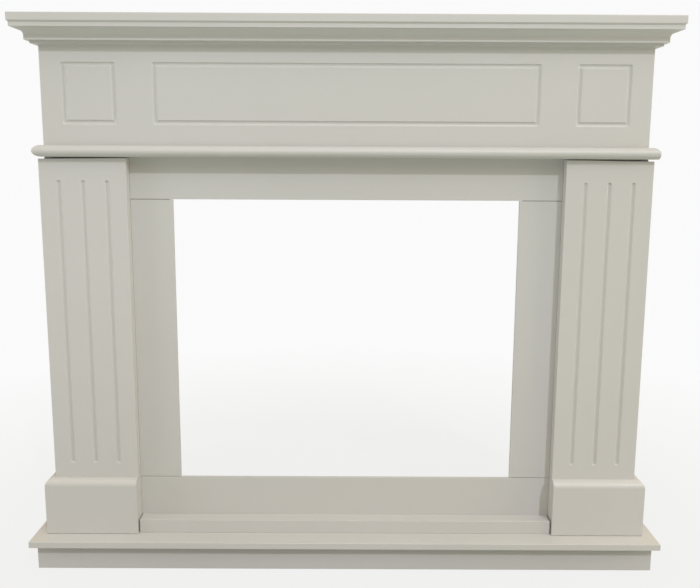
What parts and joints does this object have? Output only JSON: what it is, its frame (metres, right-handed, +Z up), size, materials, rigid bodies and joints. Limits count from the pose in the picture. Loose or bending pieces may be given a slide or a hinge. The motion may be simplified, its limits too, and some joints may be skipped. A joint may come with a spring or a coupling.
{
  "type": "mantelpiece fire surround",
  "caption": "Painted board fire surround: moulded shelf and panelled header on fluted pilasters with plinths, framed fire opening, step strip and raised hearth.",
  "frame": {"origin": "centre of the footprint on the floor", "axes": "+X to the right seen from the front, +Y towards the wall, +Z up"},
  "size_m": [1.204, 0.33, 1.036],
  "materials": {
    "painted_board": "satin off-white paint on fibreboard",
    "bare_board": "raw fibreboard, matt",
    "pine": "planed pine, unfinished",
    "cam_zinc": "die-cast zinc, dull",
    "bolt_steel": "zinc-plated steel",
    "screw_steel": "yellow-passivated steel"
  },
  "bodies": {
    "root": {"shelf_board": "painted_board", "crown_front": "painted_board", "crown_return_right": "painted_board", "crown_return_left": "painted_board", "frieze_board": "painted_board", "header_end_right": "painted_board", "header_end_left": "painted_board", "bullnose_board": "painted_board", "pilaster_right": "painted_board", "pilaster_left": "painted_board", "leg_outer_side_right": "painted_board", "leg_outer_side_left": "painted_board", "plinth_front_right": "painted_board", "plinth_front_left": "painted_board", "plinth_return_right": "painted_board", "plinth_return_left": "painted_board", "frame_top_rail": "painted_board", "frame_bottom_rail": "painted_board", "frame_stile_right": "painted_board", "frame_stile_left": "painted_board", "step_strip": "painted_board", "hearth_slab": "painted_board", "base_front_rail": "painted_board", "base_side_rail_right": "painted_board", "base_side_rail_left": "painted_board", "leg_inner_side_right": "painted_board", "leg_inner_side_left": "painted_board", "leg_top_block_right": "painted_board", "leg_top_block_left": "painted_board", "header_back_rail": "bare_board", "header_divider": "bare_board", "frame_joint_plates": "bare_board", "leg_back_rail_right": "bare_board", "leg_back_rail_left": "bare_board", "base_back_rail": "bare_board", "base_cross_rails": "bare_board", "shelf_cleats": "pine", "leg_foot_block_right": "pine", "leg_foot_block_left": "pine", "side_batten_right": "pine", "side_batten_left": "pine", "top_batten": "pine", "bottom_batten": "pine", "cam_locks": "cam_zinc", "cam_bolts": "bolt_steel", "screws": "screw_steel"}
  },
  "joints": []
}
